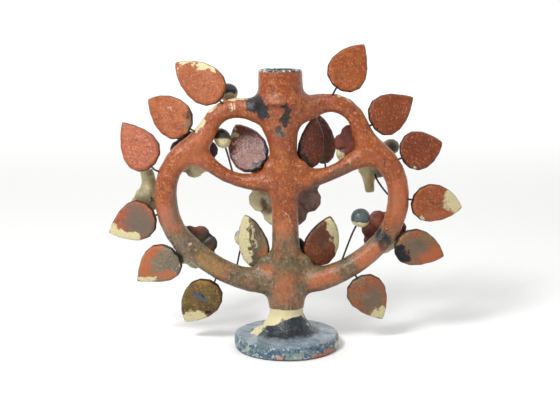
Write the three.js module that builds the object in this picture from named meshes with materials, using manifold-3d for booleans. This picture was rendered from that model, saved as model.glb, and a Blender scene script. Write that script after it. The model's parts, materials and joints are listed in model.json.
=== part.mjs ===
// A hand-built clay tree of life that holds one candle: a foot, a trunk, two ringed arms with an eye limb
// in each, a cup, and leaves, buds, flowers and birds hung on iron wires that were pushed into the wet clay.
// Millimetres, +Z up. The origin is the centre of the foot's underside. The plain back faces -Y and the
// decorated front faces +Y, so the tree's own plane is Y = 0.
import * as THREE from "three";
import { mergeVertices } from "three/addons/utils/BufferGeometryUtils.js";
import Module from "manifold-3d";

const wasm = await Module();
wasm.setup();

// ---- Driving sizes ----
const ringReach = 104; // from the trunk's axis to the middle of the left ring's coil
const shoulderHeight = 214; // from the surface to the top of the trunk
const coilThickness = 1; // share of the drawn coil widths that the rings and limbs are rolled to
const trunkThickness = 1; // the same for the trunk
const footRadius = 46;
const discThickness = 12.7;
const footEdgeRound = 3;
const neckRadius = 14.5;
const neckHeight = 30; // top of the foot's cone
const coneSpread = 33; // radius where the foot's cone runs out on the disc
const cupRadius = 19;
const cupFlare = 4; // how much wider the cup is at its bottom
const cupFlareHeight = 11;
const rimRound = 2;
const cupTop = 29; // rim above the trunk's top
const cupOffset = -5.5; // the cup sits a little left of the trunk
const socketRadius = 12;
const socketDepth = 25;
const leafThickness = 6;
const leafLean = 25; // degrees that a leaf leans forward, away from the plain back
const petalThickness = 5;
const wireRadius = 0.85;
const wireClearance = 0.35;
const wireDepth = 9; // how far a wire goes into a leaf, bud or bird
const clayGap = 0.3; // between pieces luted together

// The tables below are drawn for this reach and this height.
const drawn = { reach: 104, rise: 214 };
const across = (x) => (x * ringReach) / drawn.reach;
const up = (z) => (z * shoulderHeight) / drawn.rise;

// A tree that is made narrower or lower has thinner coils and smaller leaves, so that they stay clear of
// each other. Thicker coils leave less room in the loops, so what hangs there is smaller and further forward.
const frameShare = Math.min(1, across(1), up(1));
const hungShare = frameShare / Math.max(1, coilThickness);
const forward = (y) => y * Math.max(1, coilThickness);

// ---- Colours ----
const terracotta = 0xb25e3e;
const smokedClay = 0x7a6c52;
const slipCream = 0xe8deaf;
const darkGlaze = 0x2b2f36;
const slateBlue = 0x5a697d;
const brickRed = 0x8f4a38;
const ironBlack = 0x2a2522;

const tree = new THREE.Group();
tree.name = "clay_tree_of_life";

// ---- Solids and cuts ----
function solidOf(geometry) {
  const bare = geometry.clone();
  bare.deleteAttribute("normal");
  bare.deleteAttribute("uv");
  const merged = mergeVertices(bare, 1e-3);
  return new wasm.Manifold(
    new wasm.Mesh({
      numProp: 3,
      vertProperties: new Float32Array(merged.attributes.position.array),
      triVerts: new Uint32Array(merged.index.array),
    }),
  );
}

function geometryOf(solid) {
  const mesh = solid.getMesh();
  const geometry = new THREE.BufferGeometry();
  geometry.setAttribute("position", new THREE.BufferAttribute(mesh.vertProperties, 3));
  geometry.setIndex(new THREE.BufferAttribute(mesh.triVerts, 1));
  geometry.computeVertexNormals();
  return geometry;
}

const joined = (...shapes) => shapes.map(solidOf).reduce((all, next) => all.add(next));
const cutBy = (solid, tools) => tools.reduce((left, tool) => left.subtract(tool), solid);

function fired(name, geometry, color, roughness = 0.45) {
  const clay = new THREE.MeshStandardMaterial({ color, roughness, metalness: 0 });
  const mesh = new THREE.Mesh(geometry, clay);
  mesh.name = name;
  tree.add(mesh);
  return mesh;
}

// ---- Coils of clay: a round section along a curve, scaled at each step to its own width and depth ----
const roundSection = (radius, sides) =>
  new THREE.Shape(
    Array.from({ length: sides }, (_, i) => {
      const turn = (2 * Math.PI * i) / sides;
      return new THREE.Vector2(radius * Math.cos(turn), radius * Math.sin(turn));
    }),
  );

// stations: [x, z, half width in the tree's plane, half depth, y]
function coil(stations, { sides = 14, steps = 24, grow = 0 } = {}) {
  const path = new THREE.CatmullRomCurve3(stations.map(([x, z, , , y = 0]) => new THREE.Vector3(x, y, z)));
  const sizes = new THREE.CatmullRomCurve3(stations.map(([, , w, d]) => new THREE.Vector3(w, d, 0)));
  const geometry = new THREE.ExtrudeGeometry(roundSection(1, sides), { steps, extrudePath: path });
  const middles = path.getSpacedPoints(steps);
  const place = geometry.attributes.position;
  const point = new THREE.Vector3();
  for (let i = 0; i < place.count; i++) {
    point.fromBufferAttribute(place, i);
    const gaps = middles.map((middle) => middle.distanceToSquared(point));
    const step = gaps.indexOf(Math.min(...gaps));
    const size = sizes.getPoint(path.getUtoTmapping(step / steps));
    const middle = middles[step];
    point.sub(middle);
    point.multiply(new THREE.Vector3(size.x + grow, size.y + grow, size.x + grow));
    point.add(middle);
    place.setXYZ(i, point.x, point.y, point.z);
  }
  return geometry;
}

// ---- Clay frame ----
function drawnCoil(rows) {
  const share = coilThickness * frameShare;
  return rows.map(([x, z, w, d = w]) => [across(x), up(z), w * share, d * share]);
}

const leftRingRows = [
  [0, 57, 11],
  [-25, 59.5, 11.5],
  [-43, 63, 10.2],
  [-66.5, 75, 9.7],
  [-87, 92, 10.2],
  [-98.5, 107, 9.9],
  [-103.5, 125, 9.8],
  [-104, 140, 9.6],
  [-100, 157, 9.6],
  [-89, 169.5, 10.4],
  [-76, 180, 10.6],
  [-68, 191, 8.8],
  [-62, 201.5, 8.1],
  [-49, 209.5, 8.4],
  [-34, 209.8, 9.2],
  [-16, 205, 11.5],
  [-4, 203, 11],
];
const rightRingRows = [
  [0, 57, 11],
  [24.5, 60, 11.2],
  [42.5, 65, 9.9],
  [62.5, 76.5, 9.8],
  [78.7, 90.3, 9.1],
  [90.5, 107, 8.9],
  [95.5, 123, 9.2],
  [96.3, 139, 9.3],
  [92, 154.5, 9.8],
  [82.5, 167, 10.8],
  [69.5, 179, 10.4],
  [63.5, 191, 8.6],
  [58.5, 203, 7.8],
  [46.8, 212.5, 8.3],
  [33, 214.3, 8.5],
  [17, 209.5, 11],
  [3, 204, 11],
];
const leftLimbRows = [
  [-86, 168, 8],
  [-74, 167.5, 8.4],
  [-63.5, 160, 6.6],
  [-50.5, 151.3, 6.3],
  [-38.8, 147.8, 6.6],
  [-27, 146.5, 7.7],
  [-15, 146.5, 10],
  [-3, 147, 10],
];
const rightLimbRows = [
  [80, 166, 8],
  [65, 168, 9],
  [57, 164.5, 8],
  [48.5, 159.3, 7],
  [38.5, 154.3, 6.6],
  [24.5, 150.2, 7.8],
  [12, 149, 10.4],
  [0, 148, 10],
];
const trunkRows = [
  [0, 40, 16, 15],
  [0, 52, 17.5, 15.5],
  [-0.5, 66, 16, 15],
  [-1.2, 80, 13.4, 13],
  [-1, 95, 11.9, 12],
  [-1.4, 118, 11.5, 12],
  [-1.8, 136, 12.6, 12],
  [-2.6, 152, 13.6, 12.5],
  [-3, 170, 11.9, 12.5],
  [-3.3, 181, 12.2, 13],
  [-4.5, 191, 15.5, 14],
  [-5, 199, 19.5, 15.5],
  [-5.2, 207, 21.5, 17.5],
];

function trunkGeometry(grow) {
  const share = trunkThickness * frameShare;
  const shaft = trunkRows.map(([x, z, w, d]) => [x, up(z), w * share, d * share]);
  const onNeck = [0, neckHeight + clayGap, neckRadius, neckRadius];
  const underCup = [cupOffset, shoulderHeight, cupRadius + cupFlare - 1, cupRadius];
  return coil([onNeck, ...shaft, underCup], { sides: 16, steps: 20, grow });
}

function footProfile() {
  const swell = 0.6;
  const rise = neckHeight - discThickness;
  const run = coneSpread - neckRadius;
  const flare = new THREE.CubicBezierCurve(
    new THREE.Vector2(coneSpread, discThickness + swell),
    new THREE.Vector2(coneSpread - run * 0.43, discThickness + rise * 0.1),
    new THREE.Vector2(neckRadius + run * 0.25, discThickness + rise * 0.4),
    new THREE.Vector2(neckRadius, neckHeight),
  );
  const edge = new THREE.Path();
  edge.moveTo(0, 0);
  edge.lineTo(footRadius - footEdgeRound, 0);
  edge.quadraticCurveTo(footRadius, 0, footRadius, footEdgeRound);
  edge.lineTo(footRadius, discThickness - footEdgeRound);
  edge.quadraticCurveTo(footRadius, discThickness, footRadius - footEdgeRound, discThickness);
  return [...edge.getPoints(3), ...flare.getPoints(7), new THREE.Vector2(0, neckHeight)];
}

function cupProfile(grow) {
  const base = shoulderHeight + clayGap - grow;
  const rim = shoulderHeight + cupTop;
  const side = cupRadius + grow;
  const outside = new THREE.Path();
  outside.moveTo(0, base);
  outside.lineTo(side + cupFlare, base);
  outside.quadraticCurveTo(side + cupFlare / 4, base + cupFlareHeight / 2, side, base + cupFlareHeight);
  outside.lineTo(side, rim - rimRound);
  outside.quadraticCurveTo(side, rim, cupRadius - rimRound, rim);
  const points = outside.getPoints(4);
  if (grow) return [...points, new THREE.Vector2(0, rim)];
  points.push(new THREE.Vector2(socketRadius, rim));
  points.push(new THREE.Vector2(socketRadius, rim - socketDepth));
  points.push(new THREE.Vector2(0, rim - socketDepth));
  return points;
}

// A lathe turns about Y, so it is stood up along Z.
const turned = (profile, sides) => new THREE.LatheGeometry(profile, sides).rotateX(Math.PI / 2);
const cupGeometry = (grow) => turned(cupProfile(grow), 24).translate(cupOffset, 0, 0);

// ---- Wires: each is one curve, and everything it enters is drilled along the same curve ----
const wires = [];
const wireSides = 7;
const wireStep = 5.5;

function wireTube(points, radius) {
  const path = new THREE.CatmullRomCurve3(points);
  const steps = Math.max(5, Math.round(path.getLength() / wireStep));
  return new THREE.ExtrudeGeometry(roundSection(radius, wireSides), { steps, extrudePath: path });
}

function wire(name, points, enters) {
  // The hole is the wire's own curve grown by the clearance, so the wire's ends rest on its floors.
  wires.push({ drill: solidOf(wireTube(points, wireRadius + wireClearance)), enters });
  const iron = new THREE.MeshStandardMaterial({ color: ironBlack, roughness: 0.5, metalness: 0.8 });
  const mesh = new THREE.Mesh(wireTube(points, wireRadius), iron);
  mesh.name = name;
  tree.add(mesh);
}

const drillsInto = (name) => wires.filter((one) => one.enters.includes(name)).map((one) => one.drill);

// ---- Hung pieces: each is made flat about its own centre, then placed, turned and drilled ----
const hung = [];

const spot = ([x, y, z]) => new THREE.Vector3(across(x), forward(y), up(z));

// A piece lies in the tree's plane with its tip at tipAngle, then leans forward along leanAngle.
function placed(mesh, where, tipAngle, lean, leanAngle) {
  const tip = THREE.MathUtils.degToRad(tipAngle);
  const towards = THREE.MathUtils.degToRad(leanAngle);
  const length = new THREE.Vector3(Math.cos(tip), 0, Math.sin(tip));
  const front = new THREE.Vector3(0, 1, 0);
  const side = new THREE.Vector3().crossVectors(front, length);
  const flat = new THREE.Matrix4().makeBasis(length, side, front);
  const hinge = new THREE.Vector3(-Math.sin(towards), 0, Math.cos(towards));
  mesh.quaternion.setFromRotationMatrix(flat);
  mesh.quaternion.premultiply(
    new THREE.Quaternion().setFromAxisAngle(hinge, THREE.MathUtils.degToRad(lean)),
  );
  mesh.position.copy(where);
  mesh.updateMatrixWorld(true);
  hung.push(mesh);
  return mesh;
}

const onPiece = (mesh, x, y, z) => new THREE.Vector3(x, y, z).applyMatrix4(mesh.matrixWorld);

const wireStub = 4; // straight length of a wire outside the piece that it holds

// A wire's last three points: outside the piece, at its edge and inside it, on one straight line.
const plugInto = (mesh, edge) => [
  onPiece(mesh, -edge - wireStub, 0, 0),
  onPiece(mesh, -edge, 0, 0),
  onPiece(mesh, -edge + wireDepth, 0, 0),
];

// Leaf outline: a rounded base and a tip drawn out by taper, bent sideways by skew.
function leafShape(length, width, taper, skew, inset) {
  const points = [];
  const sides = 15;
  const widest = taper / (1 + taper);
  const fullest = Math.sqrt(1 - widest ** 2) * (1 + widest) ** taper;
  for (let i = 0; i < sides; i++) {
    const turn = (2 * Math.PI * i) / sides;
    const along = Math.cos(turn);
    const half = (Math.sin(turn) * (1 - along) ** taper) / fullest;
    const bend = (skew * (along + 1) ** 2) / 4;
    points.push(new THREE.Vector2((length / 2 - inset) * along, (width / 2 - inset) * half + bend));
  }
  return new THREE.Shape(points);
}

const edgeRound = 0.3; // share of a slab's thickness that its rounded edge takes up

// A slab with a rounded edge, centred on its own plane.
function slabOf(shape, thickness) {
  const round = thickness * edgeRound;
  const geometry = new THREE.ExtrudeGeometry(shape, {
    depth: thickness - 2 * round,
    bevelThickness: round,
    bevelSize: round,
    bevelSegments: 1,
    steps: 1,
  });
  return geometry.translate(0, 0, round - thickness / 2);
}

// Leaves: centre, tip angle, length and width, taper, skew, the point of the clay that its wire comes from,
// and the direction it leans in if that isn't its tip's.
const leaves = [
  {
    name: "leaf_left_1",
    at: [-72.8, 7, 234.5],
    tip: 132.3,
    size: [53.7, 34.7],
    taper: 0.33,
    skew: -7.9,
    root: [-51, 212],
  },
  {
    name: "leaf_left_2",
    at: [-101.1, 7, 202.8],
    tip: 151.8,
    size: [49, 34.5],
    taper: 0.32,
    skew: 2.7,
    root: [-72, 187],
  },
  {
    name: "leaf_left_3",
    at: [-129.2, 7, 177.2],
    tip: 129.1,
    size: [49.5, 34.3],
    taper: 0.47,
    skew: 1.6,
    root: [-100, 156],
  },
  {
    name: "leaf_left_4",
    at: [-135.6, 9, 110.4],
    tip: 198.2,
    size: [51.4, 35.6],
    taper: 0.45,
    skew: -4.8,
    root: [-102, 117],
  },
  {
    name: "leaf_left_5",
    at: [-114.1, 8, 69.7],
    tip: 220.4,
    size: [52.9, 35.2],
    taper: 0.53,
    skew: 0.4,
    root: [-83, 90],
  },
  {
    name: "leaf_left_6",
    at: [-76.9, 7, 38.4],
    tip: 235.9,
    size: [54.7, 34.1],
    taper: 0.31,
    skew: -0.6,
    root: [-63, 73],
  },
  {
    name: "leaf_right_1",
    at: [54.2, 7, 244.4],
    tip: 54.2,
    size: [47.1, 35.4],
    taper: 0.44,
    skew: -1,
    root: [37, 214],
  },
  {
    name: "leaf_right_2",
    at: [90.1, 7, 206.5],
    tip: 29.9,
    size: [46.8, 35.4],
    taper: 0.49,
    skew: -0.2,
    root: [57, 205],
  },
  {
    name: "leaf_right_3",
    at: [115.6, 9.5, 174.8],
    tip: 23.8,
    size: [43, 34.8],
    taper: 0.31,
    skew: 4.4,
    root: [84, 167],
  },
  {
    name: "leaf_right_4",
    at: [130.7, 7, 126.1],
    tip: -13.5,
    size: [53.1, 33.7],
    taper: 0.33,
    skew: -0.7,
    root: [97, 131],
  },
  {
    name: "leaf_right_5",
    at: [116.5, 8, 84.8],
    tip: -26.7,
    size: [53, 33.5],
    taper: 0.38,
    skew: -3.2,
    root: [84, 97],
  },
  {
    name: "leaf_right_6",
    at: [73.8, 7, 42.1],
    tip: -58.5,
    size: [55.2, 34.5],
    taper: 0.44,
    skew: 1.5,
    root: [59, 73],
  },
  {
    name: "leaf_inner_left_upper",
    at: [-34.9, 14, 174.4],
    tip: 118.4,
    size: [47.2, 34.6],
    taper: 0.26,
    skew: 0.5,
    root: [-17, 147],
  },
  {
    name: "leaf_inner_right_upper",
    at: [21.8, 12, 178.6],
    tip: 78,
    size: [45, 28.5],
    taper: 0.35,
    skew: -1.5,
    root: [20, 149],
    lean: 38,
    leanTo: 0,
  },
  {
    name: "leaf_inner_left_lower",
    at: [-30.8, 15, 90.7],
    tip: 115,
    size: [48.5, 29.3],
    taper: 0.29,
    skew: 3.3,
    root: [-24, 60],
    leanTo: 165,
  },
  {
    name: "leaf_inner_right_lower",
    at: [32.3, 9, 92.5],
    tip: 71.2,
    size: [47.1, 34.8],
    taper: 0.34,
    skew: -1.9,
    root: [25, 61],
    leanTo: -25,
  },
];

// This one hangs behind the upper right inner leaf, on the same wire.
const hiddenLeaf = {
  name: "leaf_inner_right_back",
  behind: [9.5, 12 + leafThickness, 0.5],
  tip: 97,
  size: [43, 26],
  taper: 0.35,
  skew: 0,
  lean: 30,
  leanTo: 10,
};
const leafHalf = ({ size }) => (size[0] / 2) * hungShare;

function makeLeaf({ name, tip, size, taper, skew, lean = leafLean, leanTo = tip }, where) {
  const [length, width] = size.map((side) => side * hungShare);
  const inset = leafThickness * edgeRound;
  const slab = slabOf(leafShape(length, width, taper, skew * hungShare, inset), leafThickness);
  return placed(fired(name, slab, terracotta), where, tip, lean, leanTo);
}

// Rosette: a scalloped slab with a domed middle on its front.
const petalDepth = 0.18; // share of the radius that the notches between petals cut in
const domeShare = 0.36;

function flowerGeometry(radius, petals) {
  const points = [];
  const perPetal = 4;
  const rim = radius - petalThickness * edgeRound;
  for (let i = 0; i < petals * perPetal; i++) {
    const turn = (2 * Math.PI * i) / (petals * perPetal);
    const petal = Math.abs(Math.sin((petals * turn) / 2)) ** 0.8;
    const reach = rim * (1 - petalDepth + petalDepth * petal);
    points.push(new THREE.Vector2(reach * Math.cos(turn), reach * Math.sin(turn)));
  }
  const slab = slabOf(new THREE.Shape(points), petalThickness);
  const dome = new THREE.SphereGeometry(radius * domeShare, 10, 6).scale(1, 1, 0.7);
  return geometryOf(joined(slab, dome.translate(0, 0, petalThickness * edgeRound)));
}

const flowers = [
  {
    name: "flower_trunk_upper",
    at: [-1.4, 20, 136.1],
    radius: 34,
    petals: 8,
    color: brickRed,
    root: [-2, 134],
  },
  {
    name: "flower_trunk_lower",
    at: [4, 21, 77.5],
    radius: 17.5,
    petals: 6,
    color: darkGlaze,
    root: [-1, 78],
  },
  { name: "flower_left_lower", at: [-81, 17.5, 85.7], radius: 20.5, petals: 7, color: smokedClay },
  { name: "flower_right_lower", at: [85.9, 17.5, 99.2], radius: 20.5, petals: 7, color: brickRed },
  { name: "flower_right_upper", at: [60, 17.5, 175.8], radius: 19.5, petals: 7, color: brickRed },
  { name: "flower_left_upper", at: [-80.7, 18, 168.6], radius: 21.5, petals: 7, color: slipCream },
];

function makeFlower({ name, at, radius, petals, color }) {
  return placed(fired(name, flowerGeometry(radius * hungShare, petals), color), spot(at), 90, 0, 90);
}

// The wire comes out of a flower's back, straight towards the clay.
const plugBehind = (mesh) => [
  onPiece(mesh, 0, 0, -petalThickness / 2 - wireStub),
  onPiece(mesh, 0, 0, -petalThickness / 2),
  onPiece(mesh, 0, 0, petalThickness / 2),
];

// Buds: balls, the first one a little drawn out.
const buds = [
  { name: "bud_left_eye", at: [-55.4, 8, 183.2], size: [9.3, 7.4], tip: 108, root: [-45, 149] },
  { name: "bud_left_top", at: [-50.5, 17, 221.7], size: [8.5, 8.5], tip: 80, root: [-49, 209.5] },
  { name: "bud_left_lower", at: [-38.5, 31, 91.1], size: [8.5, 8.5], tip: 75, root: [-45, 64] },
  { name: "bud_right_lower", at: [64, 2, 114.5], size: [8.6, 8.6], tip: 62, root: [44, 66] },
];

function makeBud({ name, at, size, tip }) {
  const [length, width] = size.map((half) => half * hungShare);
  const ball = new THREE.SphereGeometry(1, 12, 8).scale(length, width, width);
  return placed(fired(name, ball, darkGlaze), spot(at), tip, 0, tip);
}

// Birds: rolled and pinched lumps pressed together. Each lump is [dx, dy, dz] from the body's centre and
// its half sizes; the tail is a coil.
const birds = [
  {
    name: "bird_left",
    at: [-122.5, 17, 129.5],
    lumps: [
      [[0, 0, 0], [12, 8, 11.5]],
      [[5, 1, -4], [8, 7.5, 7.5]],
      [[-8, 0, -5], [7, 5, 7.5]],
    ],
    tail: [
      [1, 4, 9, 7, 0],
      [2, 15, 6.5, 5.5, 0],
      [-0.5, 25, 6, 4.5, 0],
    ],
    root: [-104, 138],
    bends: [[12.5, -4, 6.5]],
    hold: [0.5, 0, 4],
  },
  {
    name: "bird_right",
    at: [80.5, 30, 158],
    lumps: [
      [[0, 0, 0], [12, 8.5, 13]],
      [[11.5, 0, 15], [8, 7.5, 7.5]],
      [[-9, 0, -3.5], [9, 7, 8]],
    ],
    tail: [
      [-9, -6, 7, 6, 0],
      [-7.5, -16, 5, 4.5, -1],
      [-6.5, -25, 4, 3.5, -2],
    ],
    root: [93, 130],
    bends: [
      [4, -17, -20],
      [-3, -5, -8],
    ],
    hold: [-1, 0, 0],
  },
];

const lumpOf = ([offset, size]) => new THREE.SphereGeometry(1, 10, 8).scale(...size).translate(...offset);

function birdSolid({ lumps, tail }) {
  const tailCoil = coil(
    tail.map(([x, z, w, d, y]) => [x, z, w, d, y]),
    { sides: 8, steps: 5 },
  );
  return joined(...lumps.map(lumpOf), tailCoil);
}

// ---- Make the hung pieces and bend their wires ----
const inClay = ([x, z], y = 0) => new THREE.Vector3(across(x), y, up(z));

function wireToPiece(mesh, edge, root, enters) {
  wire("wire_" + mesh.name, [inClay(root), ...plugInto(mesh, edge)], [mesh.name, ...enters]);
}

const frameNames = ["trunk", "ring_left", "ring_right", "eye_limb_left", "eye_limb_right", "candle_cup"];
const flowerMeshes = new Map(flowers.map((flower) => [flower.name, makeFlower(flower)]));

// These leaves' wires go on through the ring and hold the flower in front of it.
const sharedWires = new Map([
  ["leaf_left_3", "flower_left_upper"],
  ["leaf_left_5", "flower_left_lower"],
  ["leaf_right_3", "flower_right_upper"],
  ["leaf_right_5", "flower_right_lower"],
]);

for (const leaf of leaves) {
  const mesh = makeLeaf(leaf, spot(leaf.at));
  const edge = leafHalf(leaf);
  const flower = flowerMeshes.get(sharedWires.get(leaf.name));
  if (leaf.name === "leaf_inner_right_upper") {
    const back = makeLeaf(hiddenLeaf, mesh.position.clone().add(new THREE.Vector3(...hiddenLeaf.behind)));
    const far = plugInto(back, leafHalf(hiddenLeaf)).reverse();
    const loop = [inClay([36, 148], 17), inClay([29, 146], 8), inClay([22.5, 146], 4)];
    wire("wire_" + leaf.name, [...far, ...loop, ...plugInto(mesh, edge)], [
      leaf.name,
      hiddenLeaf.name,
      ...frameNames,
    ]);
  } else if (flower) {
    const ends = plugBehind(flower).reverse();
    wire("wire_" + leaf.name, [...ends, inClay(leaf.root, 2), ...plugInto(mesh, edge)], [
      leaf.name,
      flower.name,
      ...frameNames,
    ]);
  } else {
    wireToPiece(mesh, edge, leaf.root, frameNames);
  }
}

for (const flower of flowers.filter(({ root }) => root)) {
  const mesh = flowerMeshes.get(flower.name);
  wire("wire_" + flower.name, [inClay(flower.root), ...plugBehind(mesh)], [flower.name, ...frameNames]);
}

for (const bud of buds) wireToPiece(makeBud(bud), bud.size[0] * hungShare, bud.root, frameNames);

for (const bird of birds) {
  const centre = spot(bird.at);
  const beside = (offset) => new THREE.Vector3(...offset).add(centre);
  const points = [inClay(bird.root), ...bird.bends.map(beside), beside(bird.hold)];
  wire("wire_" + bird.name, points, [bird.name, ...frameNames]);
  const solid = birdSolid(bird).translate(centre.toArray());
  fired(bird.name, geometryOf(cutBy(solid, drillsInto(bird.name))), slipCream);
}

// ---- Make the clay frame, each piece cut back from the ones that it is luted to ----
function makeFrame() {
  const trunkGrown = solidOf(trunkGeometry(clayGap));
  const cupGrown = solidOf(cupGeometry(clayGap));
  const footGrown = solidOf(turned(footProfile(), 32)).translate([0, 0, clayGap]);
  const ring = (rows, grow) => coil(drawnCoil(rows), { sides: 12, steps: 28, grow });
  const limb = (rows) => coil(drawnCoil(rows), { sides: 10, steps: 9 });
  const leftRingGrown = solidOf(ring(leftRingRows, clayGap));
  const rightRingGrown = solidOf(ring(rightRingRows, clayGap));
  const pieces = [
    ["foot", solidOf(turned(footProfile(), 32)), [], slateBlue],
    ["trunk", solidOf(trunkGeometry(0)), [cupGrown], smokedClay],
    ["candle_cup", solidOf(cupGeometry(0)), [], terracotta],
    ["ring_left", solidOf(ring(leftRingRows, 0)), [trunkGrown, cupGrown, footGrown], terracotta],
    ["ring_right", solidOf(ring(rightRingRows, 0)), [trunkGrown, cupGrown, footGrown], terracotta],
    ["eye_limb_left", solidOf(limb(leftLimbRows)), [trunkGrown, leftRingGrown], terracotta],
    ["eye_limb_right", solidOf(limb(rightLimbRows)), [trunkGrown, rightRingGrown], terracotta],
  ];
  for (const [name, solid, neighbours, color] of pieces) {
    fired(name, geometryOf(cutBy(solid, [...neighbours, ...drillsInto(name)])), color, 0.4);
  }
}
makeFrame();

// Drill the hung pieces in their own frames.
for (const mesh of hung) {
  const toLocal = mesh.matrixWorld.clone().invert();
  const drills = drillsInto(mesh.name).map((drill) => solidOf(geometryOf(drill).applyMatrix4(toLocal)));
  mesh.geometry = geometryOf(cutBy(solidOf(mesh.geometry), drills));
}

export default tree;
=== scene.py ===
import json
import math

import bpy
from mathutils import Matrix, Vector
from mathutils.bvhtree import BVHTree

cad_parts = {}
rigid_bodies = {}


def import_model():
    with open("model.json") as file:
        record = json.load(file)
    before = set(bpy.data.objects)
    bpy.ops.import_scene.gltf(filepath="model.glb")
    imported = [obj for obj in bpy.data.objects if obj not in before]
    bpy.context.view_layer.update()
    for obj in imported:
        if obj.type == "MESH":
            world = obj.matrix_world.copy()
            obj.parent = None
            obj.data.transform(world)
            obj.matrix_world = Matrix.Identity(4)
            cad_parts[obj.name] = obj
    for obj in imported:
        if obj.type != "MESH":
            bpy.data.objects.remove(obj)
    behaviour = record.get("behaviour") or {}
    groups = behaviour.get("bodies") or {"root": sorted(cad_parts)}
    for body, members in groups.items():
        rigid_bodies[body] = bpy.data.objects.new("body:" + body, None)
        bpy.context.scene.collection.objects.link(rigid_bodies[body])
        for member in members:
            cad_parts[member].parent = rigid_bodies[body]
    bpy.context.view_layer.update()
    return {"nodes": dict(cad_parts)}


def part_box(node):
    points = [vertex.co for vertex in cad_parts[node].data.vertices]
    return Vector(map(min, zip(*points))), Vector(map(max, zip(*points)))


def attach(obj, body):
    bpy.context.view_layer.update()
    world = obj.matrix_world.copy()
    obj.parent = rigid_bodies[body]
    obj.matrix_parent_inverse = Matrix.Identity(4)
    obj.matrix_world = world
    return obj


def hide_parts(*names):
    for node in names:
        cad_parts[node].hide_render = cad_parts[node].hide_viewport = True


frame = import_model()
nodes = frame["nodes"]
mm = 0.001
print("frame loaded:", len(nodes), "nodes")


def deselectAll():
    bpy.ops.object.select_all(action="DESELECT")


def pick(obj):
    deselectAll()
    obj.select_set(True)
    bpy.context.view_layer.objects.active = obj


def modify(obj, kind, **settings):
    # adds one modifier and applies it at once
    pick(obj)
    modifier = obj.modifiers.new(kind.title(), kind)
    for key, value in settings.items():
        setattr(modifier, key, value)
    bpy.ops.object.modifier_apply(modifier=modifier.name)


def copyNode(name, newName):
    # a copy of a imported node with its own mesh, its loose triangles merged
    obj = nodes[name].copy()
    obj.data = nodes[name].data.copy()
    obj.name = obj.data.name = newName
    for key in list(obj.keys()):
        del obj[key]
    obj.parent = None
    bpy.context.scene.collection.objects.link(obj)
    obj.data.materials.clear()
    pick(obj)
    bpy.ops.object.mode_set(mode="EDIT")
    bpy.ops.mesh.select_all(action="SELECT")
    bpy.ops.mesh.remove_doubles(threshold=0.01 * mm)
    bpy.ops.object.mode_set(mode="OBJECT")
    for layer in list(obj.data.uv_layers):
        obj.data.uv_layers.remove(layer)
    return obj


def fuse(objs):
    pick(objs[0])
    for obj in objs:
        obj.select_set(True)
    bpy.ops.object.join()
    return bpy.context.view_layer.objects.active


def keepOuterShell(obj):
    # hollows left inside the clay are dropped
    highest = max(obj.data.vertices, key=lambda vertex: vertex.co.z).index
    pick(obj)
    bpy.ops.object.mode_set(mode="EDIT")
    bpy.ops.mesh.select_mode(type="VERT")
    bpy.ops.mesh.select_all(action="DESELECT")
    bpy.ops.object.mode_set(mode="OBJECT")
    obj.data.vertices[highest].select = True
    bpy.ops.object.mode_set(mode="EDIT")
    bpy.ops.mesh.select_linked()
    bpy.ops.mesh.select_all(action="INVERT")
    bpy.ops.mesh.delete(type="VERT")
    bpy.ops.object.mode_set(mode="OBJECT")


def closeClay(obj, voxel, swell, smooth):
    # grows the clay, fuses it and shrinks it back: small holes close and inner corners turn into fillets
    modify(obj, "REMESH", mode="VOXEL", voxel_size=voxel)
    modify(obj, "DISPLACE", strength=swell, mid_level=0)
    modify(obj, "REMESH", mode="VOXEL", voxel_size=voxel)
    keepOuterShell(obj)
    modify(obj, "DISPLACE", strength=-swell, mid_level=0)
    modify(obj, "SMOOTH", factor=0.5, iterations=smooth)
    modify(obj, "REMESH", mode="VOXEL", voxel_size=voxel)
    keepOuterShell(obj)


def unevenness(name, size, depth=2):
    texture = bpy.data.textures.new(name, "CLOUDS")
    texture.noise_scale = size
    texture.noise_depth = depth
    return texture


handTexture = unevenness("handPressed", 26 * mm)
thumbTexture = unevenness("thumbMarks", 7 * mm, 1)


def pressByHand(obj, deep, fine):
    modify(obj, "DISPLACE", texture=handTexture, texture_coords="LOCAL", strength=deep, mid_level=0.5)
    modify(obj, "DISPLACE", texture=thumbTexture, texture_coords="LOCAL", strength=fine, mid_level=0.5)


def finishPiece(obj, node, material):
    pick(obj)
    bpy.ops.object.shade_smooth()
    obj.data.materials.clear()
    obj.data.materials.append(material)
    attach(obj, "root")
    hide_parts(node)


class Num:
    # wraps a value socket, so that sums and masks read as plain arithmetic
    def __init__(self, recipe, socket):
        self.recipe = recipe
        self.socket = socket

    def __add__(self, other):
        return self.recipe.maths("ADD", self, other)

    def __radd__(self, other):
        return self.recipe.maths("ADD", other, self)

    def __sub__(self, other):
        return self.recipe.maths("SUBTRACT", self, other)

    def __rsub__(self, other):
        return self.recipe.maths("SUBTRACT", other, self)

    def __mul__(self, other):
        return self.recipe.maths("MULTIPLY", self, other)

    def __rmul__(self, other):
        return self.recipe.maths("MULTIPLY", other, self)

    def most(self, other):
        return self.recipe.maths("MAXIMUM", self, other)

    def drift(self, amount):
        # a cloud turned into a shift to either side of nothing
        return (self - 0.5) * amount


paintShare = 0.72  # the palette is as seen in the studio's light, and the paint itself is this much darker


def linear(rgb, share):
    # an 8-bit display colour as the linear colour that the shader wants
    def channel(value):
        value = value / 255
        return share * (value / 12.92 if value <= 0.04045 else ((value + 0.055) / 1.055) ** 2.4)
    return (channel(rgb[0]), channel(rgb[1]), channel(rgb[2]), 1)


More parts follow.
